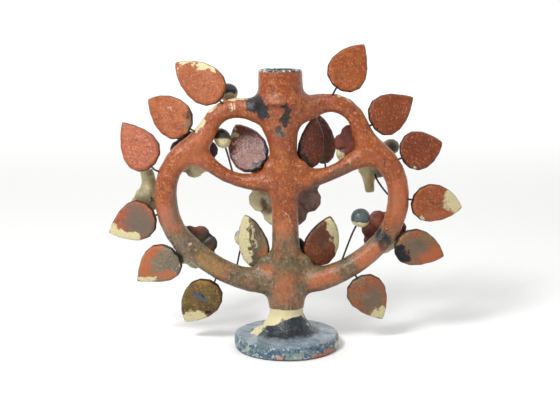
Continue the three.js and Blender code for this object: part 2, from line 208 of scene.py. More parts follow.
class Recipe:
    # one material; every pattern reads object coordinates in millimetres
    def __init__(self, name, share=paintShare):
        self.share = share
        self.material = bpy.data.materials.new(name)
        self.material.use_nodes = True
        self.tree = self.material.node_tree
        self.tree.nodes.clear()
        self.output = self.add("ShaderNodeOutputMaterial")
        self.shader = self.add("ShaderNodeBsdfPrincipled")
        self.tree.links.new(self.shader.outputs["BSDF"], self.output.inputs["Surface"])
        self.coord = self.add("ShaderNodeTexCoord")
        self.place = self.vector("SCALE", {"Vector": self.coord.outputs["Object"], "Scale": 1000})
        self.axes = self.add("ShaderNodeSeparateXYZ", {}, {"Vector": self.place})
        self.facing = self.add("ShaderNodeSeparateXYZ", {}, {"Vector": self.coord.outputs["Normal"]})
        self.torn = self.wander(self.wander(self.place, 7, 7), 2, 2.2)

    def add(self, kind, settings={}, inputs={}):
        node = self.tree.nodes.new(kind)
        for key, value in settings.items():
            setattr(node, key, value)
        for key, value in inputs.items():
            self.plug(node.inputs[key], value)
        return node

    def plug(self, socket, value):
        if isinstance(value, Num):
            value = value.socket
        if isinstance(value, bpy.types.NodeSocket):
            self.tree.links.new(value, socket)
        else:
            socket.default_value = value

    def maths(self, operation, first, second=0.0, clamp=False):
        node = self.add("ShaderNodeMath", {"operation": operation, "use_clamp": clamp}, {0: first, 1: second})
        return Num(self, node.outputs[0])

    def vector(self, operation, inputs):
        node = self.add("ShaderNodeVectorMath", {"operation": operation}, inputs)
        return node.outputs["Value" if operation in ("LENGTH", "DOT_PRODUCT") else "Vector"]

    def wander(self, place, size, amount):
        # shifts a place by a cloud, so that what is drawn there gets a ragged edge
        cloud = self.add("ShaderNodeTexNoise", {}, {"Vector": place, "Scale": 1 / size, "Detail": 3})
        centred = self.vector("SUBTRACT", {0: cloud.outputs["Color"], 1: (0.5, 0.5, 0.5)})
        shift = self.vector("SCALE", {"Vector": centred, "Scale": amount * 2})
        return self.vector("ADD", {0: place, 1: shift})

    def axis(self, name):
        return Num(self, self.axes.outputs[name])

    def normal(self, name):
        return Num(self, self.facing.outputs[name])

    def along(self, direction):
        # how far the surface faces a direction, from -1 to 1
        return Num(self, self.vector("DOT_PRODUCT", {0: self.coord.outputs["Normal"], 1: direction}))

    def ramp(self, value, low, high):
        # 0 below low, 1 above high and smooth between; low above high turns it round
        node = self.add("ShaderNodeMapRange", {"interpolation_type": "SMOOTHSTEP"},
                        {"Value": value, "From Min": low, "From Max": high, "To Min": 0.0, "To Max": 1.0})
        return Num(self, node.outputs["Result"])

    def noise(self, size, detail=3, rough=0.55, stretch=(1, 1, 1), shift=(0, 0, 0)):
        # a 0 to 1 cloud whose lumps are about size millimetres across
        mapped = self.add("ShaderNodeMapping", {},
                          {"Vector": self.place, "Location": shift, "Scale": stretch})
        node = self.add("ShaderNodeTexNoise", {}, {"Vector": mapped.outputs["Vector"], "Scale": 1 / size,
                                                   "Detail": detail, "Roughness": rough})
        return Num(self, node.outputs["Fac"])

    def pits(self, size, radius, shift=(0, 0, 0)):
        # scattered round specks
        mapped = self.add("ShaderNodeMapping", {}, {"Vector": self.place, "Location": shift})
        node = self.add("ShaderNodeTexVoronoi", {"feature": "F1"},
                        {"Vector": mapped.outputs["Vector"], "Scale": 1 / size, "Randomness": 1.0})
        return self.ramp(Num(self, node.outputs["Distance"]), radius, radius * 0.5)

    def spot(self, centre, radius, soft, stretch=(1, 1, 1), torn=True):
        # a patch round a point; stretch below 1 draws it out along that axis
        away = self.vector("SUBTRACT", {0: self.torn if torn else self.place, 1: centre})
        away = self.vector("MULTIPLY", {0: away, 1: stretch})
        far = Num(self, self.vector("LENGTH", {0: away}))
        return self.ramp(far, radius * (1 + soft), radius * (1 - soft))

    def stroke(self, start, end, radius, soft, stretch):
        # a brush stroke between two points
        span = Vector([(b - a) * pull for a, b, pull in zip(start, end, stretch)])
        away = self.vector("SUBTRACT", {0: self.torn, 1: start})
        away = self.vector("MULTIPLY", {0: away, 1: stretch})
        share = self.vector("DOT_PRODUCT", {0: away, 1: tuple(span / span.length_squared)})
        held = self.maths("ADD", Num(self, share), 0.0, clamp=True)
        back = self.vector("SCALE", {"Vector": tuple(span), "Scale": held})
        far = Num(self, self.vector("LENGTH", {0: self.vector("SUBTRACT", {0: away, 1: back})}))
        return self.ramp(far, radius * (1 + soft), radius * (1 - soft))

    def colour(self, under, over, mask):
        node = self.add("ShaderNodeMix", {"data_type": "RGBA"})
        self.plug(node.inputs["Factor"], mask)
        self.plug(node.inputs[6], linear(under, self.share) if isinstance(under, tuple) else under)
        self.plug(node.inputs[7], linear(over, self.share) if isinstance(over, tuple) else over)
        return node.outputs[2]

    def cover(self, tone, layers):
        # broken films of colour, one over another; each row is the colour, how strong it is, where the cloud
        # starts and ends to show it, then the cloud's size, detail, roughness, shift and stretch
        for over, share, low, high, size, detail, rough, shift, *stretch in layers:
            cloud = self.noise(size, detail, rough, *stretch, shift=shift)
            tone = self.colour(tone, over, self.ramp(cloud, low, high) * share)
        return tone

    def bump(self, height, distance):
        inputs = {"Height": height, "Distance": distance, "Strength": 1.0}
        return self.add("ShaderNodeBump", {}, inputs).outputs["Normal"]

    def finish(self, colour, roughness, normal, specular=0.5):
        self.plug(self.shader.inputs["Base Color"], colour)
        self.plug(self.shader.inputs["Roughness"], roughness)
        self.plug(self.shader.inputs["Normal"], normal)
        self.shader.inputs["Specular IOR Level"].default_value = specular
        return self.material


palette = {
    "terracotta": (164, 78, 16), "brick": (138, 62, 34), "rose": (190, 112, 86), "orange": (200, 108, 60),
    "olive": (112, 98, 66), "darkOlive": (70, 62, 44), "smoke": (118, 106, 92), "cream": (230, 218, 170),
    "paleGreen": (176, 190, 160), "navy": (10, 16, 32), "black": (16, 13, 13), "ink": (3, 3, 5),
    "slate": (78, 98, 122), "greyBlue": (116, 126, 138), "ochre": (178, 130, 66), "pink": (214, 160, 140),
    "white": (236, 232, 220), "umber": (92, 52, 34), "deepGreen": (58, 88, 84),
}

# fired into the clay, so without an edge; the other colours are paint that chips
firedColours = ("olive", "darkOlive", "smoke", "ochre", "orange", "rose", "umber", "brick")
markForm = {"firedEdge": 0.75, "paintedEdge": 0.16, "through": (1, 0.25, 1),
            "chipSize": 1.5, "chipShows": 0.45}


def paintMarks(r, tone, marks, s=markForm):
    # each mark: colour, how strong, radius, then one point for a patch or more for a stroke
    chips = r.ramp(r.noise(s["chipSize"], 3, 0.65, shift=(7, 3, 5)), 0.36, 0.44)
    whole = 1 - s["chipShows"] + chips * s["chipShows"]
    for colour, strength, radius, *points in marks:
        fired = colour in firedColours
        edge = {"soft": s["firedEdge" if fired else "paintedEdge"], "stretch": s["through"]}
        if len(points) == 1:
            mask = r.spot(points[0], radius, **edge)
        else:
            mask = r.stroke(points[0], points[1], radius, **edge)
            for start, end in zip(points[1:], points[2:]):
                mask = mask.most(r.stroke(start, end, radius, **edge))
        mask = mask * strength if fired else mask * whole * strength
        tone = r.colour(tone, palette[colour], mask)
    return tone


studio = {
    "cameraPlace": (-0.0058, -0.933, 0.294), "lens": 70.6, "sensor": 36, "pitch": 10.45,
    "keyPlace": (-0.55, -0.8, 1.0), "keySize": 0.32, "keyPower": 17,
    "fillPlace": (0.9, -0.9, 0.6), "fillSize": 1.0, "fillPower": 1.5,
    "aim": (0, 0, 0.13), "skyBehind": 1.1, "skyRoom": 0.27,
    "floorRadius": 2.6, "wallHeight": 1.5, "wallLean": 0.9, "wallSteps": 10,
    "wallStarts": -0.4, "wallFull": 1.0,  # metres behind the tree's plane; nearer, the floor stays flat
    "floorGrey": 224, "backdropGlow": 0.42,
    "glowStarts": 300, "glowFull": 2600,  # millimetres behind the tree's plane
}


def makeCamera(s):
    bpy.ops.object.camera_add(location=s["cameraPlace"], rotation=(math.radians(90 - s["pitch"]), 0, 0))
    camera = bpy.context.object
    camera.name = "photoCamera"
    camera.data.lens = s["lens"]
    camera.data.sensor_width = s["sensor"]
    bpy.context.scene.camera = camera


def makeSoftbox(name, s):
    place = Vector(s[name + "Place"])
    bpy.ops.object.light_add(type="AREA", location=place)
    lamp = bpy.context.object
    lamp.name = name + "Softbox"
    lamp.data.size = s[name + "Size"]
    lamp.data.energy = s[name + "Power"]
    lamp.rotation_euler = (Vector(s["aim"]) - place).to_track_quat("-Z", "Y").to_euler()


def makeFloor(s):
    # a round pale floor whose rim curves up into a backdrop, except on the camera's side
    deselectAll()
    bpy.ops.mesh.primitive_circle_add(vertices=96, radius=s["floorRadius"], fill_type="NGON",
                                      location=(0, 0, 0))
    floor = bpy.context.object
    floor.name = "paleFloor"
    bpy.ops.object.mode_set(mode="EDIT")
    bpy.ops.mesh.select_all(action="SELECT")
    bpy.ops.mesh.inset(thickness=1 * mm)
    bpy.ops.mesh.select_all(action="DESELECT")
    bpy.ops.mesh.select_mode(type="EDGE")
    bpy.ops.mesh.select_non_manifold()
    stepTurn = math.pi / 2 / s["wallSteps"]
    for step in range(s["wallSteps"]):
        turn = stepTurn * (step + 0.5)
        rise = s["wallHeight"] * math.sin(turn) * stepTurn
        grow = 1 + s["wallLean"] * math.cos(turn) * stepTurn / s["floorRadius"]
        bpy.ops.mesh.extrude_region_move(TRANSFORM_OT_translate={"value": (0, 0, rise)})
        bpy.ops.transform.resize(value=(grow, grow, 1), center_override=(0, 0, 0))
    bpy.ops.object.mode_set(mode="OBJECT")
    for vertex in floor.data.vertices:
        stands = (vertex.co.y - s["wallStarts"]) / (s["wallFull"] - s["wallStarts"])
        vertex.co.z *= min(1, max(0, stands))
    bpy.ops.object.shade_smooth()
    r = Recipe("palePaper", 1)
    grain = r.noise(1.2, 2)
    grey = s["floorGrey"]
    tone = r.colour((grey, grey, grey - 1), (grey + 5, grey + 5, grey + 4), grain)
    # the far side is lit a little from behind, as a backdrop is
    far = r.ramp(r.axis("Y"), s["glowStarts"], s["glowFull"])
    glow = r.colour((0, 0, 0), (255, 255, 255), far * s["backdropGlow"])
    r.plug(r.shader.inputs["Emission Color"], glow)
    r.shader.inputs["Emission Strength"].default_value = 1
    floor.data.materials.append(r.finish(tone, 0.8, r.bump(grain, 0.02 * mm), 0.2))


def makeSky(s):
    # bright behind the tree and overhead, dimmer behind the camera, as in a room with a window
    world = bpy.data.worlds.new("whiteRoom")
    bpy.context.scene.world = world
    world.use_nodes = True
    tree = world.node_tree
    links = tree.links
    background = tree.nodes["Background"]
    background.inputs["Color"].default_value = (1, 1, 1, 1)
    where = tree.nodes.new("ShaderNodeTexCoord")
    split = tree.nodes.new("ShaderNodeSeparateXYZ")
    links.new(where.outputs["Generated"], split.inputs["Vector"])
    lift = tree.nodes.new("ShaderNodeMath")
    lift.operation = "ADD"
    links.new(split.outputs["Y"], lift.inputs[0])
    links.new(split.outputs["Z"], lift.inputs[1])
    fade = tree.nodes.new("ShaderNodeMapRange")
    fade.inputs["From Min"].default_value = -0.5
    fade.inputs["From Max"].default_value = 0.6
    fade.inputs["To Min"].default_value = s["skyRoom"]
    fade.inputs["To Max"].default_value = s["skyBehind"]
    links.new(lift.outputs["Value"], fade.inputs["Value"])
    links.new(fade.outputs["Result"], background.inputs["Strength"])
    view = bpy.context.scene.view_settings
    view.view_transform = "Standard"
    view.look = "None"


makeCamera(studio)
makeSoftbox("key", studio)
makeSoftbox("fill", studio)
makeFloor(studio)
makeSky(studio)
print("studio ready")


clay = {
    "specular": 0.5,
    "voxel": 1.2 * mm, "fillet": 4.5 * mm, "deep": 1.2 * mm, "fine": 0.4 * mm, "smooth": 4,
    # lumps of clay thumbed into the corners: place and size in millimetres
    "lumps": [
        ((12.8, -4, 210.4), 8), ((-21.1, -2, 208.5), 8), ((7.7, -8, 216.6), 7), ((-15.9, -8, 216.6), 7),
        ((-12.7, 0, 148.1), 8), ((13.1, 0, 148.1), 8), ((-13.5, -3, 159), 7), ((11.3, -3, 159), 7),
        ((-18, 0, 75.8), 7), ((15.1, 0, 75.8), 7), ((-78.4, -2, 174.4), 7), ((72.8, -2, 172.7), 7),
        ((9.3, -9, 211.7), 6), ((-19.3, -9, 210.8), 6), ((9.6, 9, 210.1), 6), ((-19.5, 9, 209.2), 6),
    ],
    # the groove in the disc's edge: heights and depth in millimetres, and between which angles it runs
    "overlap": {"low": 4.5, "high": 9.5, "deep": 2.2, "climb": 3, "edgeFrom": 38, "discTop": 14,
                "from": -75, "to": -12},
    "capDepth": 1 * mm,  # how far the closed cuts are sunk in, out of each other's way
}
clayNodes = ["foot", "trunk", "candle_cup", "ring_left", "ring_right", "eye_limb_left", "eye_limb_right"]


def makeLump(place, size):
    deselectAll()
    bpy.ops.mesh.primitive_uv_sphere_add(segments=16, ring_count=10, radius=size * mm,
                                         location=[value * mm for value in place])
    lump = bpy.context.object
    bpy.ops.object.transform_apply(location=True, rotation=True, scale=True)
    return lump


def pressOverlap(body, s):
    # the disc's edge was folded from two layers: a groove is left between them on one side
    middle = (s["low"] + s["high"]) / 2 * mm
    half = (s["high"] - s["low"]) / 2 * mm
    for vertex in body.data.vertices:
        out = math.hypot(vertex.co.x, vertex.co.y)
        angle = math.degrees(math.atan2(vertex.co.y, vertex.co.x))
        along = (angle - s["from"]) / (s["to"] - s["from"])
        if out < s["edgeFrom"] * mm or vertex.co.z > s["discTop"] * mm or not 0 < along < 1:
            continue
        climb = along * s["climb"] * mm
        near = max(0.0, 1 - abs(vertex.co.z - middle - climb) / half)
        pull = 1 - s["deep"] * mm * near * math.sqrt(math.sin(math.pi * along)) / out
        vertex.co.x *= pull
        vertex.co.y *= pull


def makeClayBody(s):
    # the luted frame as one smooth body, before it is parted again at its joints
    pieces = [copyNode(name, "clayBody_" + name) for name in clayNodes]
    body = fuse(pieces + [makeLump(place, size) for place, size in s["lumps"]])
    closeClay(body, s["voxel"], s["fillet"], s["smooth"])
    pressByHand(body, s["deep"], s["fine"])
    pressOverlap(body, s["overlap"])
    modify(body, "SMOOTH", factor=0.4, iterations=1)
    for vertex in body.data.vertices:
        vertex.co.z = max(vertex.co.z, 0)
    return body


def nearestNode(trees, point):
    found = [(tree.find_nearest(point)[3], name) for name, tree in trees.items()]
    return min(found)[1]


def partClay(body, name, faceNames, capDepth):
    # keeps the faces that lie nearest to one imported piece, and closes the cut
    piece = body.copy()
    piece.data = body.data.copy()
    piece.name = piece.data.name = "clay_" + name
    bpy.context.scene.collection.objects.link(piece)
    for polygon, owner in zip(piece.data.polygons, faceNames):
        polygon.select = owner != name
    pick(piece)
    bpy.ops.object.mode_set(mode="EDIT")
    bpy.ops.mesh.select_mode(type="FACE")
    bpy.ops.mesh.delete(type="FACE")
    bpy.ops.mesh.select_mode(type="EDGE")
    bpy.ops.mesh.select_all(action="DESELECT")
    bpy.ops.mesh.select_non_manifold()
    bpy.ops.mesh.fill_holes(sides=0)
    bpy.ops.mesh.poke(offset=-capDepth)
    bpy.ops.mesh.select_mode(type="FACE")
    bpy.ops.object.mode_set(mode="OBJECT")
    return piece


def keepNormals(piece, body):
    # shading runs on across the joints as it did before the body was parted
    pick(piece)
    bpy.ops.object.shade_smooth()
    modify(piece, "DATA_TRANSFER", object=body, use_loop_data=True, data_types_loops={"CUSTOM_NORMAL"},
           loop_mapping="POLYINTERP_NEAREST")


def makeClayFrame(s, material):
    body = makeClayBody(s)
    pick(body)
    bpy.ops.object.shade_smooth()
    depsgraph = bpy.context.evaluated_depsgraph_get()
    trees = {name: BVHTree.FromObject(nodes[name], depsgraph) for name in clayNodes}
    owners = [nearestNode(trees, polygon.center) for polygon in body.data.polygons]
    for name in clayNodes:
        piece = partClay(body, name, owners, s["capDepth"])
        keepNormals(piece, body)
        finishPiece(piece, name, material)
    bpy.data.objects.remove(body)


clayMarks = [
    ("umber", 0.45, 9, (21.8, -12, 219.5)),
    ("orange", 0.6, 9, (-65, -9, 183.8), (-82.2, -9, 162.4)),
    ("cream", 0.92, 2.6, (-76.4, -2, 192.4), (-69.4, -2, 206.8), (-54.8, -3, 217.9)),
    ("cream", 0.85, 1.6, (-54.8, -3, 218.8), (-31.1, -6, 219.8)),
    ("cream", 0.8, 1.1, (-47.9, -8, 214.1), (-47.9, -9, 209.2)),
    ("cream", 0.8, 1.1, (-43.7, -8, 214.1), (-43.7, -9, 210)),
    ("cream", 0.7, 2.2, (43.1, -5, 223.1), (54.9, -6, 219)),
    ("navy", 1.0, 8.5, (-25.9, -12, 214.5)),
    ("navy", 1.0, 6, (-20, -14, 207.9)),
    ("ink", 1.0, 4.6, (-25.1, -12, 212.8)),
    ("ink", 1.0, 4, (-0.8, -14, 211.3), (-1.6, -13, 201.1)),
    ("smoke", 0.85, 4.2, (-5, -13, 191)),
    ("ink", 0.7, 1.6, (-7.5, -13, 195.2), (-3.3, -13, 190.2)),
    ("ink", 0.8, 2.6, (-31, -9, 221.8)),
    ("umber", 0.8, 0.8, (-5, -14, 231.3), (-2.5, -14, 218)),
    ("navy", 1.0, 6.6, (81, -9, 99.1), (84.6, -8, 95.4)),
    ("ink", 0.9, 3.6, (81.1, -9, 96.5)),
    ("greyBlue", 0.85, 3.6, (74.1, -9, 104.4)),
    ("smoke", 0.3, 5, (93.5, -7, 133.7), (91, -8, 123.4)),
    ("orange", 0.5, 7, (96.7, -7, 144.9), (95.4, -8, 119)),
    ("smoke", 0.75, 6.5, (-89.4, -8, 144.2), (-95, -8, 119.9)),
    ("darkOlive", 0.6, 3.6, (-63.9, -6, 149.9), (-43.4, -6, 142.2), (-21.2, -6, 137.8)),
    ("darkOlive", 0.6, 3.6, (21.6, -6, 143.9), (36.9, -6, 150.8), (53.9, -6, 159.4)),
    ("orange", 0.55, 8, (-0.6, -14, 61.4), (-2.3, -14, 50.8)),
    ("orange", 0.7, 7, (-4.1, -13, 107.8)),
    ("orange", 0.7, 5, (-17, -11, 69.6)),
    ("orange", 0.75, 6, (25.3, -11, 60.7), (37.4, -10, 64.9)),
    ("orange", 0.75, 8, (77, -9, 85), (68.4, -9, 77.9)),
    ("ochre", 0.55, 6, (-72.2, -9, 80.6), (-59.3, -10, 70.2)),
    ("rose", 0.6, 6, (-104.3, -8, 121.7), (-98.6, -8, 109.4)),
    ("smoke", 0.6, 6, (-89.2, -9, 97.3)),
    ("black", 0.7, 3.2, (-82.8, -10, 92.3)),
    ("pink", 1.0, 2.3, (-82.8, -10, 92.3)),
    ("cream", 0.7, 0.35, (-21.1, -12, 156), (-12.6, -12, 147.4), (-8.4, -12, 137.1), (-1.5, -12, 122.4),
     (3.6, -12, 108.5)),
    ("umber", 0.8, 0.35, (-21.9, -12, 157.7), (-10, -12, 144.9), (-6.7, -12, 134.5), (1.9, -12, 118.1)),
]

footMarks = [
    ("cream", 1.0, 3.4, (-17.1, -12, 27.8), (-22.4, -10, 20.9), (-26.9, -5, 14.9)),
    ("cream", 0.9, 1.0, (14.3, -8, 31.2), (18.6, -9, 24.3), (25.6, -11, 14.9)),
    ("ink", 0.75, 5, (-1.5, -28, 24.5), (3.6, -34, 19.2)),
    ("deepGreen", 0.5, 7, (-21, -40, 15.8)),
    ("pink", 1.0, 3.2, (-6.6, -46, 1.9)),
    ("pink", 0.9, 2.2, (21.3, -42, 1.4)),
    ("paleGreen", 0.9, 3, (-34.7, -36, 7.5)),
    ("orange", 0.9, 2.6, (24.7, -40, 0.8), (39.7, -28, 3.1)),
    ("cream", 0.8, 3, (44.9, -10, 4.6)),
    ("paleGreen", 0.5, 3.5, (2.6, -45, 2.4), (11.1, -44, 3.9)),
]


clayPaint = {
    "smokeLow": 98, "smokeHigh": 121,  # the smoke fades out between these heights
    "rimLow": 240.2, "rimHigh": 241.6, "footLow": 35.6, "footHigh": 36.8,
    # where the disc's top turns into its side
    "sideLow": 11.2, "sideHigh": 12.6, "sideIn": 41, "sideOut": 43.5,
    "coneIn": 26, "coneOut": 32, "neckLow": 29.4, "neckHigh": 30.4, "neckSlope": 8,
    "dent": (-99.3, -9, 159.9), "dentOut": 4.6, "dentIn": 3.2,
}

# films of colour for Recipe.cover
terracottaFilms = [
    (palette["umber"], 0.7, 0.54, 0.68, 5, 5, 0.7, (9, 4, 2)),
    ((226, 156, 108), 0.7, 0.54, 0.64, 2.1, 4, 0.75, (2, 4, 6)),
    ((60, 30, 18), 0.75, 0.55, 0.65, 2.2, 4, 0.75, (6, 1, 9)),
]
slateFilms = [
    ((64, 84, 96), 0.5, 0.55, 0.66, 2.2, 4, 0.7, (3, 3, 3)),
    ((84, 110, 112), 0.75, 0.52, 0.64, 8, 4, 0.6, (2, 6, 9)),
]


def smokedTone(r, middle, x, soot):
    # olive grey from the firing, with orange clay showing through
    tone = r.colour(palette["olive"], palette["darkOlive"], r.ramp(middle, 0.42, 0.66))
    tone = r.cover(tone, [((140, 124, 96), 0.7, 0.52, 0.7, 5, 5, 0.65, (3, 7, 1))])
    patch = r.ramp(r.noise(17, 4, 0.6, shift=(30, 8, 3)) + r.ramp(x, -60, 90) * 0.06, 0.5, 0.66)
    tone = r.colour(tone, (176, 100, 58), patch * 0.5)
    tone = r.cover(tone, [((178, 162, 122), 0.7, 0.52, 0.66, 1.6, 4, 0.7, (1, 9, 4), (1, 1, 0.45))])
    return r.colour(tone, (44, 38, 26), soot * 0.65)


def rimTone(r):
    tone = r.cover((84, 84, 84), [(palette["white"], 1, 0.5, 0.6, 3.2, 3, 0.6, (0, 0, 0))])
    return r.cover(tone, [(palette["black"], 1, 0.5, 0.58, 4, 3, 0.6, (4, 4, 4))])


def footTone(r, s, big, middle, grit, chips, side, place):
    # slate top, chipped side, navy cone, cream neck
    x, y, z, out = place
    wave = middle.drift(8) + big.drift(10)
    slate = r.colour((128, 142, 158), (166, 176, 184), r.ramp(middle, 0.38, 0.66))
    slate = r.cover(slate, slateFilms)
    sideTone = r.colour((66, 92, 126), (106, 136, 142), r.ramp(r.noise(6, 4, 0.7), 0.42, 0.6))
    sideTone = r.colour(sideTone, (200, 210, 206), r.ramp(chips, 0.54, 0.6))
    sideTone = r.colour(sideTone, palette["navy"], r.ramp(chips, 0.43, 0.38))
    tone = r.colour(slate, sideTone, side)
    cone = r.ramp(out + wave * 0.9, s["coneOut"], s["coneIn"]) * r.ramp(y + big.drift(14), 12, 2)
    coneTone = r.colour(palette["navy"], (40, 66, 74), r.ramp(r.noise(4, 4, 0.7), 0.48, 0.62))
    tone = r.colour(tone, coneTone, cone)
    neckEdge = z + r.ramp(x, 9, -17) * s["neckSlope"] + wave * 0.3
    tone = r.colour(tone, palette["cream"], r.ramp(neckEdge, s["neckLow"], s["neckHigh"]))
    tone = paintMarks(r, tone, footMarks)
    underside = r.ramp(z + middle.drift(3), 1.4, 0.6)
    tone = r.colour(tone, (62, 44, 36), underside * 0.7)
    return r.colour(tone, palette["black"], r.ramp(grit, 0.62, 0.72) * 0.3)


def clayMaterial(s):
    r = Recipe("glossyTerracotta")
    big = r.noise(38, 4, 0.6)
    middle = r.noise(9, 5, 0.6)
    grit = r.noise(1.3, 3, 0.7)
    x, y, z = r.axis("X"), r.axis("Y"), r.axis("Z")
    out = r.maths("SQRT", x * x + y * y)
    # terracotta above, smoke below
    tone = r.colour(palette["terracotta"], (150, 66, 14), r.ramp(big, 0.4, 0.62))
    tone = r.colour(tone, (188, 110, 48), r.ramp(middle, 0.5, 0.7) * 0.7)
    tone = r.cover(tone, terracottaFilms)
    smoke = r.ramp(z + big.drift(34) + middle.drift(22), s["smokeHigh"], s["smokeLow"])
    soot = r.ramp(r.noise(1.8, 4, 0.7, stretch=(1, 1, 0.35), shift=(6, 2, 1)), 0.54, 0.66)
    tone = r.colour(tone, smokedTone(r, middle, x, soot), smoke * 0.92)
    tone = r.colour(tone, palette["darkOlive"], r.ramp(grit, 0.6, 0.7) * (0.2 + smoke * 0.5))
    tone = r.colour(tone, (206, 176, 130), r.pits(6.5, 0.09, (5, 1, 2)) * 0.4)
    tone = paintMarks(r, tone, clayMarks)
    tone = r.colour(tone, palette["darkOlive"], soot * (0.12 + smoke * 0.4))
    tone = r.colour(tone, rimTone(r), r.ramp(z + middle.drift(5), s["rimLow"], s["rimHigh"]))
    foot = r.ramp(z + middle.drift(3), s["footHigh"], s["footLow"])
    chips = r.noise(3.4, 4, 0.7, shift=(1, 2, 3))
    side = r.ramp(z, s["sideHigh"], s["sideLow"]) * r.ramp(out, s["sideIn"], s["sideOut"])
    tone = r.colour(tone, footTone(r, s, big, middle, grit, chips, side, (x, y, z, out)), foot)
    # gloss where the shellac has stayed
    worn = r.ramp(r.noise(12, 4, 0.6, shift=(8, 8, 1)), 0.4, 0.62)
    rough = 0.16 + worn * 0.16 + grit * 0.12 + foot * 0.05
    brushed = r.noise(1.5, 4, 0.75, stretch=(1, 1, 0.22), shift=(2, 2, 8))
    relief = middle * 0.6 + r.noise(3.5, 3, 0.6) * 0.5 + grit * 0.5 + brushed * 0.35
    # a thumbed ring on the left coil, and the flaked side of the foot
    dentOuter = r.spot(s["dent"], s["dentOut"], soft=0.25, torn=False)
    dentInner = r.spot(s["dent"], s["dentIn"], soft=0.3, torn=False)
    relief = relief - (dentOuter - dentInner) * 0.5
    relief = relief + r.ramp(chips, 0.55, 0.6) * side * 0.4
    return r.finish(tone, rough, r.bump(relief, 0.8 * mm), clay["specular"])


glossyClay = clayMaterial(clayPaint)
makeClayFrame(clay, glossyClay)
print("clay frame parted into", len(clayNodes), "pieces")


leafForm = {"voxel": 0.65 * mm, "swell": 0.6 * mm, "smooth": 3, "deep": 1.6 * mm, "fine": 0.4 * mm,
            "rib": 0.9 * mm, "ribWidth": 1.1 * mm, "veinGap": 6 * mm, "veinSlant": 0.9, "veinShare": 0.6,
            "veinNarrow": 1.4, "ribClear": 3, "frontFrom": 0.6, "backBelow": -0.5}
leafFilms = [
    ((214, 152, 116), 0.55, 0.53, 0.66, 1.9, 4, 0.7, (2, 4, 6)),
    ((70, 34, 22), 0.55, 0.54, 0.66, 1.9, 4, 0.7, (7, 2, 1)),
]

